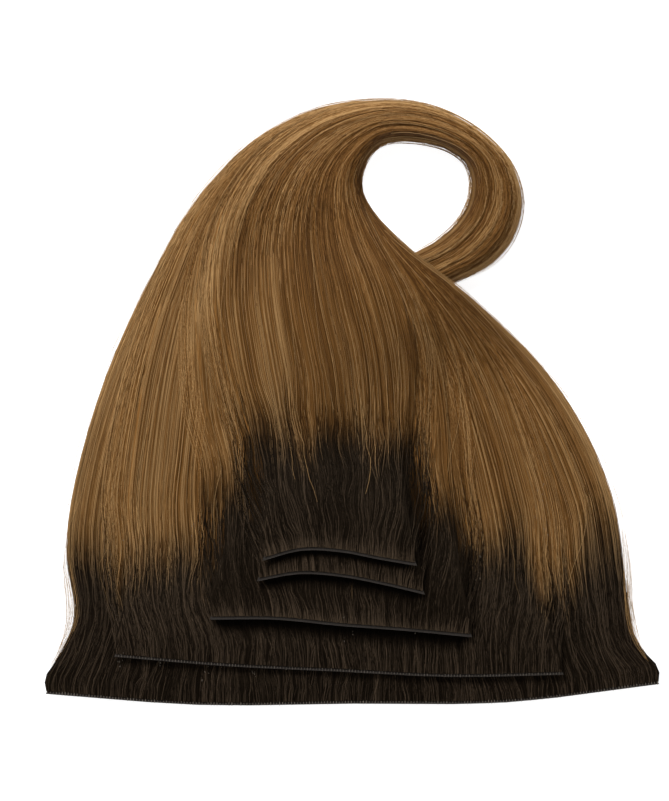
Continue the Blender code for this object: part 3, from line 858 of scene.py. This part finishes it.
def makeHairMaterials():
    colourTree = makeHairColour()
    made = []
    for name in ("hair strands", "hair body"):
        material, tree, shader = newMaterial(name)
        combing = attributeOf(tree, "combing", "Vector")
        if name == "hair strands":
            tone = attributeOf(tree, "tone", "Fac")
        else:
            lay = attributeOf(tree, "lay", "Vector")
            long, near, tight = [streaksOf(tree, lay, *streak) for streak in bodyStreaks]
            reach = addNode(tree, "ShaderNodeSeparateXYZ", {0: lay}).outputs[1]
            inLoop = between(tree, reach, gatherStart, loopStart, 0.0, 1.0)
            long = firstOf(tree, "ShaderNodeMix", {0: inLoop, 2: long, 3: tight})
            behind = firstOf(tree, "ShaderNodeSeparateXYZ", {0: combing})
            pastRoots = between(tree, behind, 0.030, 0.060, 0.0, 1.0)
            tone = firstOf(tree, "ShaderNodeMix", {0: pastRoots, 2: near, 3: long})
            inputs = {0: tone, 1: 0.3, 2: 0.7, 3: -0.3, 4: 0.9}
            tone = firstOf(tree, "ShaderNodeMapRange", inputs)
            bump = addNode(tree, "ShaderNodeBump", {"Strength": 0.6, "Distance": 0.0002, "Height": tone})
            tree.links.new(bump.outputs[0], shader.inputs["Normal"])
        inputs = {"Combing": combing, "Ahead": attributeOf(tree, "ahead", "Vector"), "Tone": tone}
        colour = addNode(tree, "ShaderNodeGroup", inputs, node_tree=colourTree).outputs
        tree.links.new(colour["Colour"], shader.inputs["Base Color"])
        tree.links.new(colour["Gloss"], shader.inputs["Roughness"])
        shader.inputs["Specular IOR Level"].default_value = hairColours["specular"]
        shader.inputs["Specular Tint"].default_value = hairColours["shine"]
        made.append(material)
    return made


strandMaterial, bodyMaterial = makeHairMaterials()
strandTree = makeStrandTree()

for weft in wefts:
    layHair(weft)
    name = f"weft_{weft['number']}_locks"
    body = newPiece(name, hairMesh(name, weft), bodyMaterial)
    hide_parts(f"weft_{weft['number']}_hair")
print("laid the hair of", len(wefts), "wefts")


# A sheet that hairs can follow, which stores the place across and along it as "guide"
def sheetMesh(points, combing, ahead):
    rows, columns = points.shape[:2]
    mesh = bpy.data.meshes.new("guide")
    mesh.from_pydata(points.reshape(-1, 3).tolist(), [], gridFaces(rows, columns).tolist())
    addAttribute(mesh, "combing", combing)
    addAttribute(mesh, "ahead", ahead)
    x = np.tile(np.linspace(0.0, 1.0, columns), rows)
    y = np.repeat(np.linspace(0.0, 1.0, rows), columns)
    addAttribute(mesh, "guide", np.stack((x, y, np.zeros_like(x)), axis=-1))
    return mesh


# The sheet for the hairs of a weft is the top of its hair and, beside it, drapes to what lies below
guide = {
    "columns": 90,
    "end": 0.325,
    "step": 0.005,
    "loopShare": 0.6,       # of the step, where the hair is in the loop
    "start": 0.03,          # the length over which the sheet widens behind the band
    "drop": 0.0004,         # at once beside the hair, then how steeply it falls
    "slope": 1.5,
    "lowest": 0.0003,
    "above": 0.0001,        # what lies below
}
combedSpill = {"layer": 0.010, "bare": 0.0004, "gathered": 0.0002}
looseSpill = {"layer": 0.012, "bare": 0.0024, "gathered": 0.0010}


def guideMesh(weft, lowerTree, spills):
    start = weft["rootReach"]
    places = sectionPlaces(start, guide["end"], guide["step"], guide["step"] * guide["loopShare"])
    across = np.linspace(-1, 1, guide["columns"])
    lay = weft["lay"]
    spill = spills["bare"] if weft["number"] == 1 else spills["layer"]
    spill = mix(spill * ease((places - start) / guide["start"]), spills["gathered"], gathered(places))
    low = uAt(weft, -1.0, places)
    high = uAt(weft, 1.0, places)
    half = combedWidth(places) * (high - low) / 4
    wide = 1 + spill / half
    v = across[None, :] * wide[:, None]
    held = np.clip(v, -1, 1)
    reach = sectionReach(weft, across, places)
    u = uAt(weft, v, reach)
    behind = reach - reach[0][None, :]
    plan = swayed(weft, v, combedPoint(u, reach), behind)
    heights = np.empty_like(reach)
    rowAt = np.interp(places, lay["places"], np.arange(len(lay["places"])))
    for row, (place, here) in enumerate(zip(places, rowAt)):
        lower = int(here)
        upper = min(lower + 1, len(lay["places"]) - 1)
        line = mix(weft["over"][lower, :, 2], weft["over"][upper, :, 2], here - lower)
        heights[row] = np.interp(held[row], lay["v"], line)
        for column in np.flatnonzero(np.abs(v[row]) > 1.0):
            beyond = (abs(v[row, column]) - 1.0) * half[row]
            fall = heights[row, column] - guide["drop"] - beyond * guide["slope"]
            hit = None
            if lowerTree is not None:
                hit = lowerTree.ray_cast(Vector((*plan[row, column], 1.0)), Vector((0.0, 0.0, -1.0)))[0]
            bare = hit is None or place >= turnStart
            ground = guide["lowest"] if bare else hit.z + guide["above"]
            heights[row, column] = max(fall, ground)
    points = np.concatenate((plan, heights[..., None]), axis=-1)
    edge = paintedRimLightOf(u, v, reach)
    lane = laneOf(weft, u, reach, behind)
    combing = np.stack((fadeDistance(weft, plan, behind), edge, lane), axis=-1)
    mesh = sheetMesh(points, combing, aheadOf(weft, plan))
    return mesh, lambda place: float(np.interp(place, places, np.linspace(0.0, 1.0, len(places))))


strands = {
    "perMetre": 8500,       # hairs across each metre of a weft
    "sections": 34,
    "spread": 1.35,
    "shortSections": 9,
    "loopHairs": {1: 60, 2: 60, 3: 60, 4: 60, 5: 520},
    "loopSections": 27,
    "radius": 0.00009,
    "cover": 0.012,         # how far the hairs of a covered part run in under the next weft
    "curl": 0.0022,
    "ownCurl": 0.0012,
    "tuftSize": 0.0045,
    "curlLength": 0.009,
    "curlEnd": 0.060,
}


# Hairs that stand out from the rest: along the outline, and a few that cross the others
loose = {"edges": (1, 5), "edgeHairs": 90, "edgeBand": 0.035, "crossing": 34, "radius": 0.00005}


# Share across a weft at which the next weft's side lies
def coveredShares(weft, upper):
    width = weft["width"] * laid["spreadWidth"]
    left = weft["centre"] * laid["spreadWidth"] - width / 2
    upperWidth = upper["width"] * laid["spreadWidth"]
    upperLeft = upper["centre"] * laid["spreadWidth"] - upperWidth / 2
    return (upperLeft - left) / width + 0.01, (upperLeft + upperWidth - left) / width - 0.01


def combWeft(weft, upper, mesh, shareAt, looseMesh):
    number = weft["number"]
    wide = weft["width"] * laid["spreadWidth"]
    count = strands["perMetre"] * wide
    common = {
        "Sections": strands["sections"],
        "Length": shareAt(loopStart + 0.030),
        "Length scatter": 0.15,
        "Spread": strands["spread"],
        "Wander": 0.0020 / weft["width"] ** 0.5,
        "Turns": 4.0,
        "Curl": strands["curl"] / wide,
        "Own curl": strands["ownCurl"] / wide,
        "Tufts": wide / strands["tuftSize"],
        "Curl turns": (guide["end"] - weft["rootReach"]) / strands["curlLength"],
        "Curl end": shareAt(weft["rootReach"] + strands["curlEnd"]),
        "Lift": 0.00008,
        "Lift scatter": 0.00014,
        "Radius": strands["radius"],
        "Tone low": -0.20,
        "Tone high": 1.15,
        "Seed": number * 100,
        "Material": strandMaterial,
    }
    runs = []
    if upper is None:
        runs.append({**common, "Count": int(count)})
    else:
        left, right = coveredShares(weft, upper)
        front = (upper["front"] - weft["front"]) * laid["length"] + strands["cover"]
        runs.append({**common, "Count": int(count * left), "Right": left})
        runs.append({**common, "Count": int(count * (1 - right)), "Left": right, "Seed": number * 100 + 1})
        runs.append({
            **common,
            "Count": int(count * (right - left)),
            "Sections": strands["shortSections"],
            "Spread": 1.0,
            "Left": left,
            "Right": right,
            "Length": shareAt(weft["rootReach"] + front),
            "Seed": number * 100 + 2,
        })
    runs.append({
        **common,
        "Count": strands["loopHairs"][number],
        "Sections": strands["loopSections"],
        "Spread": 1.0,
        "From": shareAt(loopStart - 0.075),
        "Start scatter": 0.15,
        "Length": 1.0,
        "Length scatter": 0.10,
        "Wander": 0.03,
        "Turns": 4.0,
        "Radius": strands["radius"] * 1.2,
        "Seed": number * 100 + 3,
    })
    parts = [runTree("hairs", strandTree, mesh, values) for values in runs]
    stray = {
        **common,
        "Radius": loose["radius"],
        "Spread": 1.0,
        "Tone low": 0.9,
        "Tone high": 2.6,
        "Taper": 0.4,
    }
    sides = {
        **stray,
        "Tone low": 0.6,
        "Tone high": 1.5,
        "Count": loose["edgeHairs"],
        "Sections": 10,
        "From": 0.03,
        "Start scatter": 0.85,
        "Length": 0.16,
        "Length scatter": 0.5,
        "Wander": 0.016,
        "Turns": 9.0,
        "Lift scatter": 0.0006,
    }
    crossing = {
        **stray,
        "Count": loose["crossing"],
        "Sections": 16,
        "From": 0.02,
        "Start scatter": 0.7,
        "Length": 0.28,
        "Length scatter": 0.5,
        "Wander": 0.16,
        "Turns": 4.0,
        "Lift": 0.0005,
        "Loft": 0.0015,
        "Radius": loose["radius"] * 1.3,
        "Tone low": 1.0,
        "Tone high": 3.4,
        "Seed": number * 100 + 4,
    }
    parts.append(runTree("hairs", strandTree, looseMesh, crossing))
    if number in loose["edges"]:
        for left, right, salt in ((0.0, loose["edgeBand"], 5), (1 - loose["edgeBand"], 1.0, 6)):
            values = {**sides, "Left": left, "Right": right, "Seed": number * 100 + salt}
            outlineParts.append(runTree("hairs", strandTree, looseMesh, values))
    name = f"weft_{number}_strands"
    newPiece(name, joined(name, parts), strandMaterial)


outlineParts = []
upperParts = []
spreadTree = None
for weft, upper in zip(wefts, wefts[1:] + [None]):
    mesh, shareAt = guideMesh(weft, spreadTree, combedSpill)
    combWeft(weft, upper, mesh, shareAt, guideMesh(weft, spreadTree, looseSpill)[0])
    rows = int((weft["lay"]["places"] < turnStart).sum())
    upperParts.append(weft["over"][:rows])
    points = []
    faces = []
    for part in upperParts:
        faces += (gridFaces(*part.shape[:2]) + len(points)).tolist()
        points += part.reshape(-1, 3).tolist()
    spreadTree = BVHTree.FromPolygons(points, faces)
print("combed the hairs")


# Thin veils of loose hair beside both ends of the widest weft: x, y of the inner side, then of the outer, z
veils = {
    "left": [
        (-0.1090, -0.0960, -0.1095, -0.0950, 0.0030),
        (-0.1046, -0.0900, -0.1062, -0.0895, 0.0034),
        (-0.0990, -0.0800, -0.1030, -0.0795, 0.0032),
        (-0.0980, -0.0720, -0.1030, -0.0700, 0.0028),
        (-0.1003, -0.0600, -0.1038, -0.0600, 0.0024),
        (-0.1014, -0.0500, -0.1032, -0.0500, 0.0020),
        (-0.1008, -0.0380, -0.1012, -0.0380, 0.0018),
    ],
    "right": [
        (0.1060, -0.0930, 0.1068, -0.0925, 0.0034),
        (0.1010, -0.0860, 0.1035, -0.0855, 0.0036),
        (0.0985, -0.0790, 0.1015, -0.0780, 0.0034),
        (0.0975, -0.0700, 0.1005, -0.0690, 0.0030),
        (0.0970, -0.0580, 0.0998, -0.0580, 0.0026),
        (0.0965, -0.0480, 0.0982, -0.0480, 0.0022),
        (0.0950, -0.0350, 0.0955, -0.0350, 0.0018),
    ],
}


def veilMesh(rows):
    line = smoothLine(np.linspace(0, 1, len(rows)), np.array(rows))(np.linspace(0, 1, 24))
    inner = line[:, [0, 1, 4]]
    outer = line[:, [2, 3, 4]]
    points = np.stack((inner, outer), axis=1)
    behind = np.full(points.shape[:-1], hairColours["fadeTo"] + 0.003)
    combing = np.stack((behind, np.zeros_like(behind), np.full_like(behind, 0.6)), axis=-1)
    return sheetMesh(points, combing, np.full(points.shape, farFromBand))


parts = outlineParts
for number, (side, rows) in enumerate(veils.items()):
    values = {
        "Count": 34,
        "Sections": 18,
        "From": 0.0,
        "Start scatter": 0.35,
        "Length": 0.8,
        "Length scatter": 0.4,
        "Wander": 0.30,
        "Turns": 2.5,
        "Lift scatter": 0.0012,
        "Radius": 0.00004,
        "Tone low": 0.6,
        "Tone high": 3.0,
        "Taper": 0.3,
        "Seed": 900 + number,
        "Material": strandMaterial,
    }
    parts.append(runTree("hairs", strandTree, veilMesh(rows), values))
newPiece("loose_hairs", joined("loose_hairs", parts), strandMaterial)


# The front of each band: a thin rounded rim, and on the lower bands the stitches that hold the hair
rims = {
    1: {"radius": 0.00036, "stitches": 0.00107, "reach": 0.0008, "thickness": 0.00009},
    2: {"radius": 0.00032, "stitches": 0.00107, "reach": 0.0006, "thickness": 0.00005},
    3: {"radius": 0.00050, "stitches": 0.0},
    4: {"radius": 0.00044, "stitches": 0.0},
    5: {"radius": 0.00044, "stitches": 0.0},
}


def makeRimTree():
    tree, given, result = newMeshTree("band rim", {"Radius": 0.0005, "Step": 0.0008})
    line = firstOf(tree, "GeometryNodeMeshToCurve", {0: given["Geometry"]})
    line = firstOf(tree, "GeometryNodeResampleCurve", {0: line, 3: given["Step"]}, mode="LENGTH")
    profile = firstOf(tree, "GeometryNodeCurvePrimitiveCircle", {0: 10, 4: given["Radius"]})
    mesh = firstOf(tree, "GeometryNodeCurveToMesh", {0: line, 1: profile, 3: True})
    return finishMesh(tree, mesh, given, result)


def makeStitchTree():
    inputs = {"Spacing": 0.001, "Thickness": 0.00009, "Reach": 0.0011, "Seed": 5}
    tree, given, result = newMeshTree("band stitches", inputs)
    line = firstOf(tree, "GeometryNodeMeshToCurve", {0: given["Geometry"]})
    inputs = {0: line, "Length": given["Spacing"]}
    spots = addNode(tree, "GeometryNodeCurveToPoints", inputs, mode="LENGTH").outputs
    loop = addNode(tree, "GeometryNodeCurveQuadraticBezier", {
        "Resolution": 6,
        "Start": (0.0, 1.0, 0.35),
        "Middle": (0.0, -0.1, 1.4),
        "End": (0.0, -0.6, -0.3),
    }).outputs[0]
    thickness = calc(tree, "DIVIDE", given["Thickness"], given["Reach"])
    profile = firstOf(tree, "GeometryNodeCurvePrimitiveCircle", {0: 4, 4: thickness})
    loop = firstOf(tree, "GeometryNodeCurveToMesh", {0: loop, 1: profile, 3: True})
    turn = firstOf(tree, "FunctionNodeAlignRotationToVector", {2: spots["Tangent"]}, axis="X")
    inputs = {2: 0.55, 3: 1.15, 8: given["Seed"]}
    chance = addNode(tree, "FunctionNodeRandomValue", inputs, data_type="FLOAT").outputs[1]
    size = calc(tree, "MULTIPLY", chance, given["Reach"])
    loops = {0: spots["Points"], 2: loop, 5: turn, 6: size}
    loops = firstOf(tree, "GeometryNodeInstanceOnPoints", loops)
    return finishMesh(tree, loops, given, result)


def threadGroup():
    inputs = [("Place", "NodeSocketVector", None), ("Scale", "NodeSocketFloat", 900.0)]
    outputs = [("Mask", "NodeSocketFloat"), ("Height", "NodeSocketFloat")]
    tree, given, result = newTree("thread and weave", "ShaderNodeTree", inputs, outputs)
    wave = {0: given["Place"], "Scale": given["Scale"]}
    wide = addNode(tree, "ShaderNodeTexWave", {**wave, "Distortion": 1.5})
    across = addNode(tree, "ShaderNodeTexWave", {**wave, "Distortion": 1.0}, bands_direction="Y")
    noise = firstOf(tree, "ShaderNodeTexNoise", {0: given["Place"], 2: 700.0, 3: 3.0})
    height = calc(tree, "MULTIPLY", calc(tree, "ADD", wide.outputs["Fac"], across.outputs["Fac"]), 0.5)
    tree.links.new(noise, result[0])
    tree.links.new(calc(tree, "MULTIPLY_ADD", noise, 0.3, height), result[1])
    return tree


def clothMaterial(name, group, dark, light, roughness, specular, scale, strength):
    material, tree, shader = newMaterial(name)
    place = addNode(tree, "ShaderNodeTexCoord").outputs["Object"]
    weave = addNode(tree, "ShaderNodeGroup", {"Place": place, "Scale": scale}, node_tree=group).outputs
    mask = weave["Mask"]
    ramp = addNode(tree, "ShaderNodeMix", {0: mask, 6: (*dark, 1.0), 7: (*light, 1.0)}, data_type="RGBA")
    tree.links.new(ramp.outputs[2], shader.inputs["Base Color"])
    rough = addNode(tree, "ShaderNodeMapRange", {0: mask, 3: roughness - 0.08, 4: roughness + 0.08})
    tree.links.new(rough.outputs[0], shader.inputs["Roughness"])
    inputs = {"Strength": strength, "Distance": 0.0001, "Height": weave["Height"]}
    bump = addNode(tree, "ShaderNodeBump", inputs)
    tree.links.new(bump.outputs[0], shader.inputs["Normal"])
    shader.inputs["Specular IOR Level"].default_value = specular
    return material


def lineMesh(points):
    mesh = bpy.data.meshes.new("line")
    mesh.from_pydata([tuple(point) for point in points], [(i, i + 1) for i in range(len(points) - 1)], [])
    return mesh


weaveGroup = threadGroup()
# Dark and light colour, roughness, specular, scale of the weave, strength of its bumps
finishes = {
    "band cloth": ((0.010, 0.008, 0.006), (0.026, 0.020, 0.016), 0.7, 0.2, 320.0, 0.8),
    "rim thread": ((0.018, 0.016, 0.015), (0.068, 0.062, 0.056), 0.45, 0.4, 260.0, 0.5),
    "stitching": ((0.10, 0.08, 0.06), (0.30, 0.25, 0.20), 0.55, 0.3, 900.0, 0.5),
    "lacquered steel": ((0.030, 0.022, 0.016), (0.050, 0.037, 0.028), 0.3, 0.5, 60.0, 0.15),
}
made = [clothMaterial(name, weaveGroup, *finish) for name, finish in finishes.items()]
bandMaterial, rimMaterial, stitchMaterial, clipMaterial = made

for name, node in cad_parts.items():
    if name.endswith("_band") or "_clip_" in name:
        for place in node.material_slots:
            place.material = bandMaterial if name.endswith("_band") else clipMaterial

rimLine = {"inset": 0.0006, "points": 80, "behind": 0.0004, "step": 0.0012, "stitchesAbove": 0.0001}
rimTree = makeRimTree()
stitchTree = makeStitchTree()
for weft in wefts:
    number = weft["number"]
    low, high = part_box(f"weft_{number}_band")
    x = np.linspace(low.x + rimLine["inset"], high.x - rimLine["inset"], rimLine["points"])
    z = np.full(len(x), (low.z + high.z) / 2)
    points = np.stack((x, weft["frontAt"](x) + rimLine["behind"], z), axis=1)
    size = rims[number]
    values = {"Radius": size["radius"], "Step": rimLine["step"], "Material": rimMaterial}
    newPiece(f"weft_{number}_rim", runTree("rim", rimTree, lineMesh(points), values), rimMaterial)
    if size["stitches"]:
        points[:, 2] = high.z + rimLine["stitchesAbove"]
        values = {
            "Spacing": size["stitches"],
            "Reach": size["reach"],
            "Thickness": size["thickness"],
            "Seed": number,
            "Material": stitchMaterial,
        }
        mesh = runTree("stitches", stitchTree, lineMesh(points), values)
        newPiece(f"weft_{number}_stitches", mesh, stitchMaterial)
print("finished the bands")

# Pale ends of thread, in little tangles on the lower wefts: x, y, size of the tangle, how many
tangles = {
    "places": [
        (-0.0838, -0.0930, 0.0014, 5), (-0.0825, -0.0905, 0.0010, 3), (-0.0689, -0.0924, 0.0011, 6),
        (-0.0467, -0.0938, 0.0012, 5), (-0.0352, -0.0959, 0.0010, 5), (-0.0234, -0.0952, 0.0009, 4),
        (0.0005, -0.0816, 0.0014, 2), (0.0224, -0.0819, 0.0012, 2), (-0.0820, -0.0545, 0.0030, 6),
        (-0.0574, -0.0455, 0.0028, 5), (0.0672, -0.0340, 0.0045, 12), (0.0700, -0.0460, 0.0030, 6),
        (0.0440, -0.0620, 0.0030, 4), (-0.0520, -0.0955, 0.0030, 4), (-0.0030, -0.0830, 0.0030, 4),
    ],
    "thickness": 0.00007,
    "length": 0.00050,
}


def makeTangleTree():
    tree, given, result = newMeshTree("thread ends", {"Thickness": 0.00006, "Length": 0.0008, "Seed": 3})
    bent = addNode(tree, "GeometryNodeCurveQuadraticBezier", {
        "Resolution": 6,
        "Start": (-0.5, 0.0, 0.0),
        "Middle": (0.0, 0.25, 0.1),
        "End": (0.5, -0.05, 0.05),
    }).outputs[0]
    thickness = calc(tree, "DIVIDE", given["Thickness"], given["Length"])
    profile = firstOf(tree, "GeometryNodeCurvePrimitiveCircle", {0: 4, 4: thickness})
    bent = firstOf(tree, "GeometryNodeCurveToMesh", {0: bent, 1: profile, 3: True})
    turn = {0: (-0.3, -0.3, 1.1), 1: (0.3, 0.3, 2.0), 8: given["Seed"]}
    turn = firstOf(tree, "FunctionNodeRandomValue", turn, data_type="FLOAT_VECTOR")
    chance = {2: 0.5, 3: 1.3, 8: calc(tree, "ADD", given["Seed"], 1)}
    chance = addNode(tree, "FunctionNodeRandomValue", chance, data_type="FLOAT").outputs[1]
    size = calc(tree, "MULTIPLY", chance, given["Length"])
    ends = {0: given["Geometry"], 2: bent, 5: turn, 6: size}
    mesh = firstOf(tree, "GeometryNodeInstanceOnPoints", ends)
    return finishMesh(tree, mesh, given, result)


chances = np.random.default_rng(31)
points = []
for x, y, size, count in tangles["places"]:
    for step in range(count):
        spot = (x + chances.normal(0, size * 0.35), y + chances.normal(0, size))
        hit = spreadTree.ray_cast(Vector((*spot, 1.0)), Vector((0.0, 0.0, -1.0)))[0]
        points.append((*spot, hit.z + 0.0003))
mesh = bpy.data.meshes.new("spots")
mesh.from_pydata(points, [], [])
values = {"Thickness": tangles["thickness"], "Length": tangles["length"], "Material": stitchMaterial}
newPiece("thread_ends", runTree("ends", makeTangleTree(), mesh, values), stitchMaterial)

# Floor, light and camera
floorPart = {"side": 4.0, "height": -0.0002, "colour": (0.34, 0.34, 0.34), "glow": 0.90}
floorMesh = bpy.data.meshes.new("floor")
half = floorPart["side"] / 2
corners = [(-half, -half, 0), (half, -half, 0), (half, half, 0), (-half, half, 0)]
floorMesh.from_pydata(corners, [], [(0, 1, 2, 3)])
floor = bpy.data.objects.new("floor", floorMesh)
bpy.context.scene.collection.objects.link(floor)
floor.location.z = floorPart["height"]
material, tree, shader = newMaterial("pale floor")
shader.inputs["Base Color"].default_value = (*floorPart["colour"], 1.0)
shader.inputs["Roughness"].default_value = 0.9
shader.inputs["Emission Color"].default_value = (1.0, 1.0, 1.0, 1.0)
shader.inputs["Emission Strength"].default_value = floorPart["glow"]
floorMesh.materials.append(material)

lights = [
    {"name": "key", "place": (-0.40, 0.72, 1.05), "size": 0.55, "power": 21.0},
    {"name": "fill", "place": (0.4, -0.8, 1.0), "size": 1.4, "power": 4.5},
]
for light in lights:
    data = bpy.data.lights.new(light["name"], "AREA")
    data.shape = "SQUARE"
    data.size = light["size"]
    data.energy = light["power"]
    lamp = bpy.data.objects.new(light["name"], data)
    bpy.context.scene.collection.objects.link(lamp)
    lamp.location = light["place"]
    lamp.rotation_euler = (-Vector(light["place"])).to_track_quat("-Z", "Y").to_euler()

world = bpy.data.worlds.new("studio")
world.use_nodes = True
world.node_tree.nodes["Background"].inputs["Color"].default_value = (1.0, 1.0, 1.0, 1.0)
world.node_tree.nodes["Background"].inputs["Strength"].default_value = 0.28
bpy.context.scene.world = world
bpy.context.scene.view_settings.view_transform = "Standard"

view = {"target": (-0.00644, 0.00089, 0.008), "distance": 1.592, "elevation": 89.2, "lens": 200.0}
cameraData = bpy.data.cameras.new("camera")
cameraData.lens = view["lens"]
cameraData.sensor_width = 36.0
camera = bpy.data.objects.new("camera", cameraData)
bpy.context.scene.collection.objects.link(camera)
angle = math.radians(view["elevation"])
away = Vector((0.0, -math.cos(angle), math.sin(angle))) * view["distance"]
camera.location = Vector(view["target"]) + away
camera.rotation_euler = (-away).to_track_quat("-Z", "Y").to_euler()
bpy.context.scene.camera = camera

print("finished")
